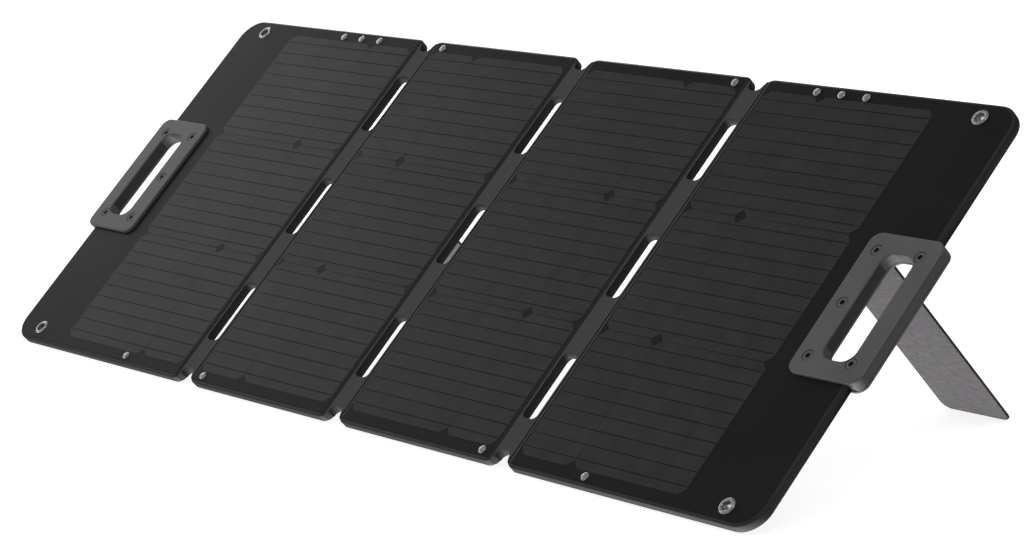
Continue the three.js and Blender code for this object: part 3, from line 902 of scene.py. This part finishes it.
def make_handle(place, side, body_name):
    plate, body, slot = [sided(side, loop) for loop in handle_loops()]
    low, high = span(f"handle_front_{place}")
    top, seam = high.z, low.z
    reach = max(abs(low.x), abs(high.x))
    screws = [centre(name) for name in screws_on(place)]
    seats = [hole(circle(middle.x, middle.y, SEAT_RADIUS, 32)) for middle in screws]
    front = Solid()
    brow = [(0.0, top - 1.6), (0.12, top - 1.0), (0.47, top - 0.47), (1.0, top - 0.12),
            (1.6, top)]
    plate_edge = [(0.0, 0.05), *brow]
    slot_edge = [(0.4, seam), (0.0, seam + 0.4), *brow]
    body_low, body_high = front.tube(body, [(0.4, seam), (0.0, seam + 0.4), (0.0, 0.05)])
    plate_low, plate_high = front.tube(plate, plate_edge)
    slot_low, slot_high = front.tube(hole(slot), slot_edge)
    seat_rings = [front.tube(loop, [(0.0, top - SEAT_DEPTH), (0.0, top - 0.15), (0.15, top)])
                  for loop in seats]
    front.cap(body_low, slot_low)
    front.cap(plate_low, body_high)
    front.cap(plate_high, slot_high, *[pair[1] for pair in seat_rings])
    for floor, _ in seat_rings:
        front.cap(floor)
    grip_low, grip_high = grip_slot()

    def grip_shade_and_highlight(x, v, n):
        """Painted shade on the slot walls, in the gaps round the screws and on the outer wall, and
        a painted highlight along the outer and lower front edges.
        """
        within = grip_low.x - 0.1 < abs(x) < grip_high.x + 0.1
        straight = abs(v) < grip_high.y - GRIP_CORNER + 1.5
        seat = any(math.hypot(x - screw.x, v - screw.y) < SEAT_RADIUS + 0.4 for screw in screws)
        slot_wall = within and straight and n < top - 1.2
        if slot_wall or (seat and n < top - 0.1):
            return SHADED_TONE
        outer = abs(x) > reach - 0.6
        # Painted highlight on the outer and lower front edges.
        if top - 1.2 < n < top - 0.2 and (outer or v < low.y + 0.6):
            return PAINTED_HIGHLIGHT_TONE
        # Painted shade on the outer wall.
        return OUTER_WALL_SHADE_TONE if outer and n < top - 1.2 else 1.0

    shell = front.piece(f"handle_shell_{place}", HANDLE, wall=grip_shade_and_highlight)
    finish_piece(shell, body_name, "grey_plastic", f"handle_front_{place}")
    make_handle_back(place, side, body_name, plate, slot)
    for name in screws_on(place):
        make_screw(name, body_name)


def make_handle_back(place, side, body_name, plate, slot):
    low, high = span(f"handle_back_{place}")
    bottom, top = low.z, high.z
    edge = [(1.8, bottom), (0.8, bottom + 0.25), (0.2, bottom + 0.8), (0.0, bottom + 1.5),
            (0.0, top)]
    back = Solid()
    holes = [hole(circle(centre(name).x, centre(name).y, SCREW_HOLE + 0.2, 20))
             for name in screws_on(place)]
    back_low, back_high = back.tube(plate, edge)
    slot_low, slot_high = back.tube(hole(slot), edge)
    bores = [back.tube(loop, [(0, bottom), (0, top)]) for loop in holes]
    back.cap(back_low, slot_low, *[pair[0] for pair in bores])
    back.cap(back_high, slot_high, *[pair[1] for pair in bores])
    finish_piece(back.piece(f"handle_plate_{place}", HANDLE), body_name, "grey_plastic",
                 f"handle_back_{place}")


def socket_painted_shade(radius, depth):
    """Painted shade in the socket of a screw."""
    inside = radius < HEX_REACH + 0.5 and -SOCKET_DEPTH - 0.1 < depth < -0.2
    return SOCKET_SHADE_TONE if inside else 1.0


def make_screw(name, body_name):
    low, high = span(name)
    middle = (low + high) / 2
    top, seat = high.z, high.z - 1.9
    screw = Solid()
    head = circle(middle.x, middle.y, SCREW_HEAD, 36)
    hexagon = circle(middle.x, middle.y, HEX_REACH, 6, 15.0)
    shank = circle(middle.x, middle.y, SCREW_HOLE - 0.3, 20)
    head_low, head_high = screw.tube(head, [(0.0, seat), (0.0, top - 0.35), (0.35, top)])
    socket = [(0.0, top - SOCKET_DEPTH), (0.0, top - 0.1), (0.1, top)]
    socket_low, socket_high = screw.tube(hole(hexagon), socket)
    shank_low, shank_high = screw.tube(shank, [(0.4, low.z), (0.0, low.z + 0.4), (0.0, seat)])
    screw.cap(head_high, socket_high)
    screw.cap(socket_low)
    screw.cap(head_low, shank_high)
    screw.cap(shank_low)
    piece = screw.piece(f"{name}_hex", SCREW, ROUND_ANGLE, wall=lambda u, w, n: socket_painted_shade(
        math.hypot(u - middle.x, w - middle.y), n - top))
    finish_piece(piece, body_name, "dark_steel", name)


make_handle("left", -1, "panel_1")
make_handle("right", 1, "panel_4")

# ---- Kickstands ----
LEG_THICKNESS = 3.0
LEG_CORNER = 12.0
LEG_TOP_GAP = 2.2
FOOT_REACH = 18.0
TAPE_WIDTH = 0.9
TAPE_PROUD = 0.15
BLOCK_BACK = BOARD_BACK - 3.2
KNUCKLE_LENGTH = 19.5
KNUCKLE_RADIUS = 3.6
PIN_RADIUS = 1.6


def make_leg(place, body):
    node = f"leg_board_{place}"
    low, high = span(node)
    pin = TO_PANEL @ Vector(JOINTS[f"kickstand_{place}"]["pos_m"]) / MM
    thickness = LEG_THICKNESS
    foot = low.z + thickness / 2
    ground = foot + pin.y
    top = pin.z - KNUCKLE_RADIUS - LEG_TOP_GAP

    def on_leg(u, w, h):
        """u is X, w is N and h is V from the pin; the foot is cut level with the ground."""
        lower = max(0.0, min(1.0, (foot + FOOT_REACH - w) / FOOT_REACH))
        return u, pin.y + h, w - h * lower

    outline = rounded(low.x, foot, high.x, top, LEG_CORNER)
    half = thickness / 2 - TAPE_PROUD
    cloth_edge = [(0.5, -half), (0.0, -half + 0.3), (0.0, half - 0.3), (0.5, half)]
    cloth = Solid(on_leg)
    cloth.prism(inset(outline, 0.6), cloth_edge)
    cloth_piece = cloth.piece(f"leg_cloth_{place}", CLOTH)
    tape = Solid(on_leg)
    proud = half + TAPE_PROUD
    outer = [(0.7, -proud), (0.15, -proud + 0.5), (0.0, 0.0), (0.15, proud - 0.5), (0.7, proud)]
    inner_loop = hole(inset(outline, TAPE_WIDTH))
    outer_low, outer_high = tape.tube(outline, outer)
    inner_low, inner_high = tape.tube(inner_loop, [(0.25, -proud), (0.0, -proud + 0.2),
                                                   (0.0, proud - 0.2), (0.25, proud)])
    tape.cap(outer_low, inner_low)
    tape.cap(outer_high, inner_high)
    tape_piece = tape.piece(f"leg_tape_{place}", TAPE)
    knuckle = leg_knuckle(place, low, high, pin, top)
    finish_piece(cloth_piece, body, "leg_cloth", node)
    finish_piece(tape_piece, body, "leg_cloth")
    finish_piece(knuckle, body, "grey_plastic")


def along_x(v, n):
    """A plane whose h is X and whose u and w are V and N from a line along X."""
    return lambda u, w, h: (h, v + u, n + w)


def barrel_profile(bore, start, stop):
    """A tube round the pin, with its outer edges bevelled."""
    r = KNUCKLE_RADIUS
    bevel = 0.4
    return [(bore, start), (r - bevel, start), (r, start + bevel), (r, stop - bevel),
            (r - bevel, stop), (bore, stop)]


def leg_knuckle(place, low, high, pin, top):
    """The leg's own knuckle on its pin, with a saddle that grips the top of the leg."""
    inner = KNUCKLE_LENGTH + 0.4
    start, stop = low.x + inner, high.x - inner
    barrel = Solid(along_x(pin.y, pin.z))
    barrel.turned(0, 0, barrel_profile(PIN_RADIUS + 0.2, start, stop), 32)
    barrel_piece = barrel.piece(f"leg_knuckle_{place}", HANDLE)
    saddle = Solid()
    half = LEG_THICKNESS / 2
    outline = rounded(start, pin.y - half + 0.3, stop, pin.y + half - 0.3, 0.8, 3)
    saddle.prism(outline, [(0.3, top - 9), (0.0, top - 8.6), (0.0, pin.z - 2.6)])
    saddle_piece = saddle.piece(f"leg_saddle_{place}", HANDLE)
    return fused(barrel_piece, saddle_piece)


def fused(target, *others):
    """The pieces as one solid."""
    for other in others:
        union = target.modifiers.new("union", "BOOLEAN")
        union.operation = "UNION"
        union.solver = "EXACT"
        union.object = other
    apply_modifiers(target)
    for other in others:
        bpy.data.objects.remove(other)
    soften(target, SMOOTH_ANGLE)
    return target


def make_leg_block(place, body):
    node = f"leg_block_{place}"
    low, high = span(node)
    pin = TO_PANEL @ Vector(JOINTS[f"kickstand_{place}"]["pos_m"]) / MM
    number = 1 if place == "left" else 4
    back, front = BLOCK_BACK, high.z
    plate = Solid()
    holes = [hole(circle(centre(name).x, centre(name).y, RIVET_HOLE, 16))
             for name in rivets_on(number) if "top" in name]
    outline = rounded(low.x, pin.y + 5, high.x, high.y, 4.0, 5)
    plate.prism(outline, [(0.9, back), (0.2, back + 0.3), (0.0, back + 0.9), (0.0, front)], holes)
    block = plate.piece(f"leg_hinge_block_{place}", HANDLE)
    parts = []
    bore = PIN_RADIUS + 0.05
    for i, start in enumerate((low.x, high.x - KNUCKLE_LENGTH)):
        stop = start + KNUCKLE_LENGTH
        barrel = Solid(along_x(pin.y, pin.z))
        barrel.turned(0, 0, barrel_profile(bore, start, stop), 32)
        parts.append(barrel.piece(f"barrel_{place}_{i}", HANDLE))
        leaf = Solid()
        leaf_loop = rounded(start + 0.05, pin.y + bore + 0.5, stop - 0.05, pin.y + 9, 0.6, 3)
        leaf.prism(leaf_loop, [(0.0, back + 0.15), (0.0, front - 0.5)])
        parts.append(leaf.piece(f"leaf_{place}_{i}", HANDLE))
    finish_piece(fused(block, *parts), body, "grey_plastic", node)


def make_pin(place, body):
    node = f"leg_pin_{place}"
    low, high = span(node)
    middle = (low + high) / 2
    pin = Solid(along_x(middle.y, middle.z))
    r = PIN_RADIUS
    pin.turned(0, 0, [(0, low.x), (r - 0.3, low.x), (r, low.x + 0.3), (r, high.x - 0.3),
                      (r - 0.3, high.x), (0, high.x)], 24)
    finish_piece(pin.piece(f"{node}_rod", STEEL, ROUND_ANGLE), body, "bright_steel", node)


def make_catch(place, body):
    node = f"leg_catch_{place}"
    low, high = span(node)
    middle = (low + high) / 2
    reach = (high.x - low.x) / 2
    catch = Solid()
    catch.turned(middle.x, middle.y, [
        (RIVET_HOLE, high.z), (reach, high.z), (reach, low.z + 0.4), (reach - 0.4, low.z),
        (4.9, low.z), (4.7, low.z + 0.2), (4.7, high.z - 0.9), (RIVET_HOLE, high.z - 0.9)], 40)
    finish_piece(catch.piece(f"{node}_ring", STEEL, ROUND_ANGLE), body, "bright_steel", node)


for leg_place, leg_panel in (("left", "panel_1"), ("right", "panel_4")):
    make_leg(leg_place, f"leg_{leg_place}")
    make_leg_block(leg_place, leg_panel)
    make_pin(leg_place, leg_panel)
    make_catch(leg_place, leg_panel)

# ---- Junction box ----
def make_junction_box(body):
    low, high = span("junction_base")
    base = Solid()
    outline = rounded(low.x, low.y, high.x, high.y, 6.0)
    base.prism(outline, [(0.0, low.z), (0.0, high.z - 0.8), (-0.8, high.z)])
    finish_piece(base.piece("junction_tub", HANDLE), body, "grey_plastic", "junction_base")
    lid_low, lid_high = span("junction_lid")
    lid = Solid()
    lid.prism(outline, [(2.2, lid_low.z), (0.9, lid_low.z + 0.3), (0.2, lid_low.z + 1.0),
                        (0.0, lid_low.z + 1.8), (0.0, lid_high.z)])
    finish_piece(lid.piece("junction_cover", HANDLE), body, "grey_plastic", "junction_lid")


def make_gland(body):
    node = "output_gland"
    low, high = span(node)
    middle = (low + high) / 2
    wall = span("junction_base")[0].y
    gland = Solid(lambda u, w, h: (middle.x + u, wall - h, middle.z + w))
    gland.turned(0, 0, [(0, -4), (5.1, -4), (5.1, 0.2), (6.4, 0.3), (6.4, 4.6), (5.6, 5.0),
                        (5.6, 6.0), (6.3, 6.4), (6.3, 12.4), (5.9, 14.0), (4.9, 15.3),
                        (3.2, 16.0), (2.6, 15.4), (2.4, 14.4), (2.4, 4.0), (0, 4.0)], 36)
    finish_piece(gland.piece("cable_gland", GLAND, ROUND_ANGLE), body, "black_plastic", node)


make_junction_box("panel_1")
make_gland("panel_1")

# ---- Studio ----
FLOOR_REACH = 40000
FLOOR_DEPTH = 20
WORLD_CAMERA = 1.1
WORLD_DIFFUSE = 0.8
WORLD_LEFT = 0.75
WORLD_GLOSSY = 0.03
WORLD_BELOW = 0.19
WORLD_BELOW_FROM = 0.05
WORLD_STEP = 10.0
WORLD_DEEP = 9.0
WORLD_DEEP_FROM = 0.6


# The place, width and height in metres and power in watts of each light, and whether
# reflections show it.
LIGHTS = {
    "left": ((-3.6, 0.15, 1.7), 2.2, 1.8, 12.5, True),
    "top": ((0.5, -1.0, 4.5), 3.0, 3.0, 40, False),
    "edge": ((1.97, -1.05, 2.7), 0.8, 0.8, 7, True),
    "rim": ((-3.0, 1.7, 1.6), 0.8, 2.4, 20, True),
    "low": ((-3.0, -2.25, 0.9), 0.9, 1.5, 7, True),
}
LIGHT_AIM = (0, 0, 0.2)


def area_light(name, place, width, height, power, mirrored_too):
    data = bpy.data.lights.new(name, "AREA")
    data.shape = "RECTANGLE"
    data.size = width
    data.size_y = height
    data.energy = power
    light = bpy.data.objects.new(name, data)
    bpy.context.scene.collection.objects.link(light)
    light.location = place
    light.rotation_euler = (Vector(LIGHT_AIM) - Vector(place)).to_track_quat("-Z", "Y").to_euler()
    light.visible_glossy = mirrored_too


def make_room():
    """A white room, brighter on its left-hand side. Reflections pass through the floor, so in
    them the room is dim above, lighter below and bright straight down."""
    room = bpy.data.worlds.new("studio")
    bpy.context.scene.world = room
    room.use_nodes = True
    tree = room.node_tree
    paths = tree.nodes.new("ShaderNodeLightPath")
    strength = tree.nodes["Background"].inputs["Strength"]
    tree.nodes["Background"].inputs["Color"].default_value = (1, 1, 1, 1)
    place = tree.nodes.new("ShaderNodeTexCoord")
    parts = tree.nodes.new("ShaderNodeSeparateXYZ")
    tree.links.new(place.outputs["Generated"], parts.inputs["Vector"])

    def sloped(axis, slope, offset, clamp=False):
        made = tree.nodes.new("ShaderNodeMath")
        made.operation = "MULTIPLY_ADD"
        made.use_clamp = clamp
        made.inputs[1].default_value = slope
        if isinstance(offset, float):
            made.inputs[2].default_value = offset
        else:
            tree.links.new(offset, made.inputs[2])
        tree.links.new(axis, made.inputs[0])
        return made.outputs[0]

    level = sloped(parts.outputs["X"], -WORLD_LEFT, WORLD_DIFFUSE)
    below = sloped(parts.outputs["Z"], -WORLD_STEP, -WORLD_STEP * WORLD_BELOW_FROM, clamp=True)
    deep = sloped(parts.outputs["Z"], -1.0, -WORLD_DEEP_FROM, clamp=True)
    glossy = sloped(deep, WORLD_DEEP, sloped(below, WORLD_BELOW, WORLD_GLOSSY))
    for ray, value in (("Is Glossy Ray", glossy), ("Is Camera Ray", WORLD_CAMERA)):
        mix = tree.nodes.new("ShaderNodeMix")
        tree.links.new(paths.outputs[ray], mix.inputs["Factor"])
        tree.links.new(level, mix.inputs["A"])
        if isinstance(value, float):
            mix.inputs["B"].default_value = value
        else:
            tree.links.new(value, mix.inputs["B"])
        level = mix.outputs["Result"]
    tree.links.new(level, strength)


def make_studio():
    """A pale floor, a white room and five soft lights."""
    floor = Solid()
    edge = FLOOR_REACH
    floor.prism(rounded(-edge, -edge, edge, edge, edge / 3, 12), [(0, -FLOOR_DEPTH), (0, 0)])
    obj = floor.piece("floor", floor_material())
    obj.matrix_world = Matrix.Translation((0, 0, CAD_LOW.z))
    obj.visible_glossy = False
    make_room()
    for name, light in LIGHTS.items():
        area_light(name, *light)
    bpy.context.scene.view_settings.view_transform = "Standard"


make_studio()
